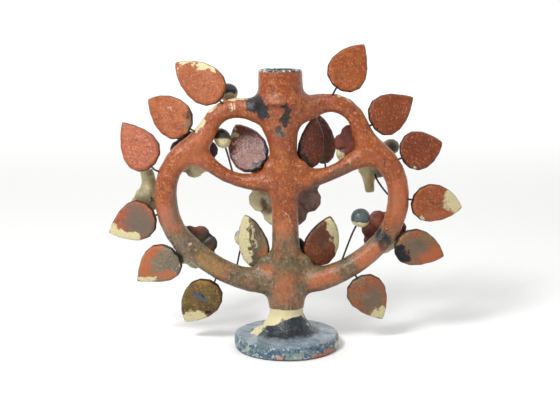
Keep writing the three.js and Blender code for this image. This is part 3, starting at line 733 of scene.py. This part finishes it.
leafLooks = {
    "leaf_left_1": {"base": (162, 82, 36), "other": (178, 98, 52), "gloss": 0.35, "marks": [
        ("cream", 0.95, 2.2, (-92.5, 8, 248.4), (-78.9, 8, 248.4)),
        ("cream", 0.95, 3, (-73.9, 8, 245.9), (-61.8, 6, 244.3)),
        ("cream", 0.8, 1.4, (-95, 6, 245.1), (-89.1, 4, 231.8)),
        ("umber", 0.8, 0.5, (-74.5, 4, 236.8), (-67, 4, 230.1), (-57.6, 2, 222.6)),
    ]},
    "leaf_left_2": {"base": (160, 80, 38), "other": (178, 100, 56), "gloss": 0.35, "marks": [
        ("black", 0.8, 3.4, (-83.3, 2, 204.7)), ("smoke", 0.8, 4, (-82.6, 2, 197.9)),
        # the short white stroke near the leaf's upper left is a painted highlight
        ("ochre", 0.9, 3, (-84.4, 2, 190.2)), ("white", 0.6, 0.8, (-99, 6, 209.5), (-94.7, 5, 205.3)),
    ]},
    "leaf_left_3": {"base": (176, 82, 30), "other": (160, 72, 26), "gloss": 0.6, "marks": [
        ("cream", 0.95, 2.2, (-135, 4, 158.9), (-132.4, 3, 155.5)),
    ]},
    "leaf_left_4": {"base": (186, 96, 66), "other": (170, 92, 66), "gloss": 0.15, "marks": [
        ("smoke", 0.95, 13, (-129.1, 2, 105.7), (-122.1, 2, 107.4)),
        ("smoke", 0.8, 8, (-132.5, 4, 122.9), (-129.3, 4, 110.6)),
        ("cream", 0.97, 5.5, (-153.8, 9, 100.7), (-141.8, 4, 96.4), (-131.3, 3, 94.8)),
        ("navy", 0.7, 1.2, (-152.7, 9, 109.6)),
    ]},
    "leaf_left_5": {"base": (122, 116, 98), "other": (142, 128, 106), "gloss": 0.25, "marks": [
        ("orange", 0.85, 5.5, (-126.4, 8, 64.9), (-123, 4, 80.3), (-113.1, 3, 90.3)),
        ("orange", 0.7, 3.4, (-120.1, 6, 60.9), (-97.8, 3, 63.4)),
        ("cream", 0.97, 3, (-127.6, 9, 56.5), (-118.7, 8, 56.8)),
        ("white", 0.9, 0.7, (-94.9, 1, 72)), ("black", 0.85, 2.4, (-94.6, 1, 86.3), (-90.4, 1, 75.6)),
    ]},
    "leaf_left_6": {"base": (124, 104, 58), "other": (92, 76, 44), "gloss": 0.15, "marks": [
        ("rose", 0.6, 3.4, (-78.7, 3, 51.7)), ("slate", 0.7, 2.8, (-78, 4, 46.9), (-71.9, 4, 41.5)),
        ("navy", 0.9, 2, (-74.5, 4, 45.1)), ("ochre", 0.6, 4, (-79.4, 3, 62.5), (-68.9, 3, 61.6)),
        ("cream", 0.97, 8, (-87.6, 9, 20.8), (-77.7, 8, 22.1)), ("navy", 0.85, 2.4, (-69.4, 5, 31.2)),
    ]},
    "leaf_right_1": {"base": (156, 76, 28), "other": (170, 90, 40), "gloss": 0.3, "marks": [
        ("umber", 0.9, 2.4, (42.5, 3, 236.9)), ("rose", 0.9, 1.5, (42.5, 3, 236.9)),
    ]},
    "leaf_right_2": {"base": (130, 56, 14), "other": (148, 70, 26), "gloss": 0.4, "marks": [
        # the black stroke along the lower-left edge is partly the leaf's dark painted edge and partly painted
        # shadow where the leaf meets the ring
        ("black", 0.9, 1.4, (70, 2, 206.4), (75.2, 1, 194.6), (83, 1, 187.7)),
    ]},
    "leaf_right_3": {"base": (124, 50, 12), "other": (142, 64, 24), "gloss": 0.4, "marks": [
        ("cream", 0.95, 2, (108.6, 2, 158.3), (111.1, 2, 158.3)),
        ("black", 0.9, 2, (94.4, 1, 172.3), (100.6, 1, 162.8)),
    ]},
    "leaf_right_4": {"base": (164, 82, 40), "other": (178, 100, 60), "gloss": 0.3, "marks": [
        ("cream", 0.97, 13, (150.2, 10, 129.8)), ("cream", 0.9, 4, (143.4, 7, 140)),
        ("cream", 0.9, 3, (111.4, 1, 141.9)),
        ("cream", 0.9, 2.6, (118.2, 2, 114.5)), ("slate", 0.8, 1.5, (136.7, 6, 126.1)),
        ("umber", 0.6, 0.8, (111.8, 2, 130.3), (134.6, 4, 127.4)),
    ]},
    "leaf_right_5": {"base": (172, 90, 48), "other": (140, 110, 72), "gloss": 0.3, "marks": [
        ("smoke", 0.85, 9, (110.9, 2, 89.7), (116.4, 3, 85.9)), ("olive", 0.7, 4, (114.5, 3, 92.1)),
        ("navy", 1.0, 7.4, (97.8, 1, 85.4), (99.7, 1, 80.1)), ("ink", 0.8, 4, (97, 1, 81.9)),
        ("orange", 0.7, 5, (121.1, 4, 76.7), (131.2, 8, 81.2)),
    ]},
    "leaf_right_6": {"base": (172, 90, 50), "other": (148, 116, 84), "gloss": 0.25, "marks": [
        ("smoke", 0.8, 8, (76.9, 4, 47.8), (75.4, 5, 36.6)),
        ("cream", 0.97, 4, (79.4, 8, 25.7), (88.3, 9, 26.4)),
    ]},
    "leaf_inner_left_upper": {"base": (124, 44, 24), "other": (96, 34, 20), "gloss": 1.1, "marks": [
        ("cream", 0.9, 2.6, (-43.7, 10, 193.6), (-47.2, 8, 180)),
        ("black", 0.95, 2.6, (-16.1, 8, 181.8), (-17, 8, 166.1), (-33.5, 8, 154.8)),
    ]},
    "leaf_inner_right_upper": {"base": (124, 58, 36), "other": (108, 52, 36), "gloss": 0.5, "marks": [
        ("black", 0.95, 3, (9.7, 6, 183.7), (10.6, 6, 168.1), (22.8, 8, 156.5)),
    ]},
    "leaf_inner_right_back": {"base": (96, 46, 34), "other": (110, 60, 46), "gloss": 0.5, "marks": [
        ("olive", 0.8, 3.4, (27.6, 24, 162.2), (30.2, 24, 171)),
    ]},
    "leaf_inner_left_lower": {"base": (108, 100, 74), "other": (82, 76, 56), "gloss": 0.4, "marks": [
        ("orange", 0.6, 5, (-18.1, 10, 75.3), (-15.5, 10, 87.9)),
        ("cream", 0.97, 5, (-37.4, 14, 112.2), (-38.4, 14, 92.4), (-35.8, 10, 73.5)),
        ("cream", 0.6, 1.5, (-30.4, 14, 105), (-28.7, 14, 94.2), (-26.9, 12, 85.7)),
        ("black", 0.9, 2, (-12.8, 8, 86.6), (-19.9, 8, 72.2)),
    ]},
    "leaf_inner_right_lower": {"base": (138, 72, 36), "other": (118, 64, 34), "gloss": 0.4, "marks": [
        ("umber", 0.7, 9, (25.7, 8, 100), (31, 8, 93.7)),
        ("cream", 0.95, 4.2, (34.4, 10, 113.9), (42.5, 12, 100.1), (46.2, 12, 83.9)),
        ("smoke", 0.5, 3, (34.5, 8, 90.1)),
    ]},
}


def leafMaterial(name, look, front):
    r = Recipe("paint_" + name)
    big = r.noise(12, 4, 0.6)
    middle = r.noise(4, 4, 0.65)
    grit = r.noise(1.1, 3, 0.7)
    tone = r.colour(look["base"], look["other"], r.ramp(big, 0.4, 0.64))
    tone = r.colour(tone, palette["umber"], r.ramp(middle, 0.54, 0.72) * 0.5)
    tone = r.cover(tone, leafFilms)
    tone = r.colour(tone, palette["umber"], r.pits(5, 0.1) * 0.7)
    tone = paintMarks(r, tone, look["marks"])
    facing = r.along(front)
    edge = r.ramp(r.maths("ABSOLUTE", facing) + middle.drift(0.3), 0.7, 0.5)
    edgeTone = r.colour(palette["black"], (58, 56, 58), r.ramp(big, 0.45, 0.6))
    tone = r.colour(tone, edgeTone, edge * 0.85)
    # the decorated side
    painted = r.colour(palette["deepGreen"], palette["slate"], r.ramp(middle, 0.4, 0.6))
    painted = r.colour(painted, palette["cream"], r.ramp(grit + big * 0.5, 0.98, 1.1) * 0.6)
    tone = r.colour(tone, painted, r.ramp(facing, 0.55, 0.7))
    tone = r.colour(tone, palette["umber"], r.ramp(grit, 0.62, 0.74) * 0.4)
    worn = r.ramp(r.noise(9, 3, 0.6, shift=(5, 2, 8)), 0.4, 0.6)
    relief = big * 0.5 + middle * 0.7 + r.noise(2, 3, 0.6) * 0.6 + grit * 0.4
    rough = 0.46 - 0.3 * look["gloss"] + worn * 0.14
    return r.finish(tone, rough, r.bump(relief, 0.8 * mm), look["gloss"] * 0.8)


def leafAxes(mesh, backBelow):
    # centre, then unit vectors along the length, across it and out of the front
    centre = sum((vertex.co for vertex in mesh.vertices), Vector()) / len(mesh.vertices)
    back = Vector()
    for polygon in mesh.polygons:
        if polygon.normal.y < backBelow:
            back += polygon.normal * polygon.area
    front = -back.normalized()
    tip = max((vertex.co - centre for vertex in mesh.vertices), key=lambda reach: reach.length)
    length = (tip - front * tip.dot(front)).normalized()
    return centre, length, front.cross(length), front


def carveVeins(obj, centre, length, across, front, s):
    # a midrib and slanting veins pressed into the front
    for vertex in obj.data.vertices:
        if vertex.normal.dot(front) < s["frontFrom"]:
            continue
        offset = vertex.co - centre
        aside = abs(offset.dot(across))
        rib = math.exp(-(aside / s["ribWidth"]) ** 2)
        slant = (offset.dot(length) - aside * s["veinSlant"]) / s["veinGap"]
        away = abs(slant - round(slant)) * s["veinGap"]
        fromRib = min(1, aside / (s["ribClear"] * s["ribWidth"]))
        vein = s["veinShare"] * math.exp(-(away / s["ribWidth"] * s["veinNarrow"]) ** 2) * fromRib
        vertex.co -= front * (s["rib"] * max(rib, vein))


def makeLeaf(name, s):
    obj = copyNode(name, "pressed_" + name)
    axes = leafAxes(obj.data, s["backBelow"])
    closeClay(obj, s["voxel"], s["swell"], s["smooth"])
    carveVeins(obj, *axes, s)
    pressByHand(obj, s["deep"], s["fine"])
    finishPiece(obj, name, leafMaterial(name, leafLooks[name], tuple(axes[3])))


for name in leafLooks:
    makeLeaf(name, leafForm)
print("leaves pressed:", len(leafLooks))


flowerForm = {"voxel": 0.8 * mm, "swell": 0.7 * mm, "smooth": 3, "deep": 1.2 * mm, "fine": 0.4 * mm,
              "groove": 1.3 * mm, "grooveWidth": 1.5 * mm, "heart": 0.3, "bow": 1.6 * mm, "bowFrom": 0.4,
              "facing": 0.4, "grooveRise": 3}

flowerLooks = {
    "flower_trunk_upper": {"petals": 8, "base": (150, 112, 96), "other": (112, 66, 60), "marks": [
        ("cream", 0.97, 14, (-26.9, 18, 127.5), (-16.4, 18, 115)),
        ("umber", 0.9, 4, (-21.6, 18, 124), (-18.1, 18, 118.6)),
        ("smoke", 0.5, 5, (18.8, 18, 129.3)), ("ochre", 0.6, 3, (-21.6, 18, 134.7)),
    ]},
    "flower_trunk_lower": {"petals": 6, "base": (66, 58, 42), "other": (34, 30, 26), "marks": [
        ("ochre", 0.5, 3, (17.2, 18, 86.2))]},
    "flower_left_lower": {"petals": 7, "base": (74, 60, 44), "other": (44, 36, 30), "marks": [
        ("cream", 0.95, 9, (-83.8, 16, 70.3), (-76.8, 16, 66.6)), ("brick", 0.7, 6, (-78.1, 16, 102.8)),
        ("ochre", 0.6, 4, (-69.5, 16, 81.2)), ("cream", 0.8, 3, (-103, 16, 88.4)),
    ]},
    "flower_right_lower": {"petals": 7, "base": (142, 68, 50), "other": (110, 56, 44), "marks": [
        ("cream", 0.95, 6, (89.8, 16, 83), (95, 16, 86.6)), ("rose", 0.6, 5, (75.2, 16, 108.2)),
    ]},
    "flower_right_upper": {"petals": 7, "base": (130, 60, 44), "other": (106, 52, 42), "marks": [
        ("cream", 0.9, 5, (44.7, 16, 166.8), (51.8, 16, 159.8))]},
    "flower_left_upper": {"petals": 7, "base": (92, 44, 40), "other": (64, 36, 36), "marks": [
        ("cream", 0.95, 7, (-84.4, 16, 152.7), (-72.2, 16, 149.2)), ("cream", 0.7, 4, (-94.3, 16, 187.8)),
        ("olive", 0.6, 4, (-87.9, 16, 150.9)),
    ]},
}


def flowerMaterial(name, look, centre, radius):
    r = Recipe("paint_" + name)
    big = r.noise(8, 4, 0.6)
    middle = r.noise(3.4, 4, 0.65)
    grit = r.noise(1.1, 3, 0.7)
    tone = r.colour(look["base"], look["other"], r.ramp(big, 0.42, 0.6))
    tone = paintMarks(r, tone, look["marks"])
    tone = r.colour(tone, palette["darkOlive"], r.ramp(middle, 0.56, 0.7) * 0.55)
    # the decorated side: cream petals with a brick heart
    front = r.ramp(r.normal("Y"), 0.35, 0.6)
    away = Num(r, r.vector("LENGTH", {0: r.vector("SUBTRACT", {0: r.torn, 1: tuple(centre / mm)})}))
    share = away * (mm / radius)
    painted = r.colour(palette["brick"], palette["cream"], r.ramp(share, 0.36, 0.5))
    painted = r.colour(painted, palette["slate"], r.ramp(share, 0.78, 0.92))
    tone = r.colour(tone, painted, front)
    tone = r.colour(tone, palette["umber"], r.ramp(grit, 0.6, 0.72) * 0.4)
    relief = big * 0.5 + middle * 0.4 + grit * 0.15
    return r.finish(tone, 0.4 + middle * 0.2, r.bump(relief, 0.9 * mm))


def shapePetals(obj, centre, radius, petals, s):
    # pinches a groove between petals and lets their tips bow forward
    for vertex in obj.data.vertices:
        offset = vertex.co - centre
        reach = math.hypot(offset.x, offset.z)
        turn = math.atan2(offset.x, offset.z) * petals / (2 * math.pi)
        away = abs(turn - round(turn)) * 2 * math.pi * reach / petals
        side = 1 if vertex.normal.y > 0 else -1
        share = reach / radius
        if share > s["heart"] and abs(vertex.normal.y) > s["facing"]:
            outward = min(1, (share - s["heart"]) * s["grooveRise"])
            vertex.co.y -= side * s["groove"] * math.exp(-(away / s["grooveWidth"]) ** 2) * outward
        vertex.co.y += s["bow"] * max(0, share - s["bowFrom"]) ** 2


def makeFlower(name, look, s):
    obj = copyNode(name, "pressed_" + name)
    lo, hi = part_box(name)
    radius = max(hi.x - lo.x, hi.z - lo.z) / 2
    centre = Vector(((lo.x + hi.x) / 2, (lo.y + hi.y) / 2, (lo.z + hi.z) / 2))
    closeClay(obj, s["voxel"], s["swell"], s["smooth"])
    shapePetals(obj, centre, radius, look["petals"], s)
    pressByHand(obj, s["deep"], s["fine"])
    finishPiece(obj, name, flowerMaterial(name, look, centre, radius))


for name, look in flowerLooks.items():
    makeFlower(name, look, flowerForm)
print("flowers pressed:", len(flowerLooks))


budForm = {"voxel": 0.6 * mm, "swell": 0.6 * mm, "smooth": 4, "deep": 0.9 * mm, "fine": 0.3 * mm}

budLooks = {
    "bud_left_eye": {"cap": (42, 46, 46), "capOther": (84, 84, 66), "line": 0.05},
    "bud_left_top": {"cap": (34, 40, 46), "capOther": (70, 76, 72), "line": 0.0},
    "bud_left_lower": {"cap": (196, 196, 180), "capOther": (108, 122, 128), "line": 0.3},
    "bud_right_lower": {"cap": (84, 96, 96), "capOther": (58, 70, 78), "line": -0.3},
}


def budMaterial(name, look, centre, half):
    r = Recipe("paint_" + name)
    big = r.noise(5, 4, 0.6)
    grit = r.noise(1.0, 3, 0.7)
    height = (r.axis("Z") - centre.z / mm) * (mm / half) + big.drift(0.7) + grit.drift(0.25)
    cap = r.colour(look["cap"], look["capOther"], r.ramp(big, 0.45, 0.6))
    cream = r.colour(palette["cream"], (202, 188, 138), r.ramp(grit, 0.45, 0.65))
    tone = r.colour(cream, cap, r.ramp(height, look["line"] - 0.06, look["line"] + 0.06))
    tone = r.colour(tone, palette["darkOlive"], r.ramp(grit, 0.62, 0.72) * 0.5)
    return r.finish(tone, 0.26 + grit * 0.16, r.bump(big * 0.6 + grit * 0.2, 0.7 * mm))


def makeBud(name, look, s):
    obj = copyNode(name, "rolled_" + name)
    lo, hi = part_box(name)
    closeClay(obj, s["voxel"], s["swell"], s["smooth"])
    pressByHand(obj, s["deep"], s["fine"])
    finishPiece(obj, name, budMaterial(name, look, (lo + hi) / 2, (hi.z - lo.z) / 2))


for name, look in budLooks.items():
    makeBud(name, look, budForm)
print("buds rolled:", len(budLooks))


birdForm = {"voxel": 0.8 * mm, "swell": 2 * mm, "smooth": 4, "deep": 1.4 * mm, "fine": 0.5 * mm}

birdLooks = {
    "bird_left": {"marks": [
        ("olive", 0.8, 8, (-125.9, 9, 131.8), (-119, 9, 129.1)), ("black", 0.95, 1.9, (-116.8, 9, 130)),
        ("umber", 0.7, 1, (-118.8, 9, 141.5), (-116.3, 9, 134.4)), ("smoke", 0.5, 3, (-118.5, 9, 153.8)),
    ]},
    "bird_right": {"marks": [
        ("ochre", 0.45, 4, (73.6, 24, 139), (73.5, 24, 148)),
        ("darkOlive", 0.8, 5, (83.9, 22, 148.3), (80.3, 22, 153.6)),
        ("darkOlive", 0.9, 9, (92.2, 22, 174.8)),
    ]},
}


def birdMaterial(name, look):
    r = Recipe("paint_" + name)
    big = r.noise(9, 4, 0.6)
    middle = r.noise(3.2, 4, 0.6)
    grit = r.noise(1.1, 3, 0.7)
    tone = r.colour((222, 208, 158), (196, 182, 130), r.ramp(big, 0.4, 0.62))
    tone = paintMarks(r, tone, look["marks"])
    tone = r.colour(tone, palette["olive"], r.ramp(middle, 0.58, 0.72) * 0.5)
    tone = r.colour(tone, palette["umber"], r.ramp(grit, 0.64, 0.74) * 0.4)
    relief = big * 0.5 + middle * 0.4 + grit * 0.15
    return r.finish(tone, 0.34 + middle * 0.2, r.bump(relief, 0.9 * mm))


def makeBird(name, look, s):
    obj = copyNode(name, "rolled_" + name)
    closeClay(obj, s["voxel"], s["swell"], s["smooth"])
    pressByHand(obj, s["deep"], s["fine"])
    finishPiece(obj, name, birdMaterial(name, look))


for name, look in birdLooks.items():
    makeBird(name, look, birdForm)
print("birds rolled:", len(birdLooks))


wireForm = {"regain": 0.08 * mm}


def wireMaterial():
    r = Recipe("ironWire")
    rust = r.noise(2.5, 4, 0.6)
    tone = r.colour((26, 22, 22), (62, 42, 34), r.ramp(rust, 0.5, 0.72))
    return r.finish(tone, 0.45 + rust * 0.2, r.bump(rust, 0.15 * mm))


ironWire = wireMaterial()
wireNames = sorted(name for name in nodes if name.startswith("wire_"))
for name in wireNames:
    wire = copyNode(name, "bent_" + name)
    modify(wire, "SUBSURF", levels=1, render_levels=1)
    modify(wire, "DISPLACE", strength=wireForm["regain"], mid_level=0)
    finishPiece(wire, name, ironWire)
print("wires bent:", len(wireNames))
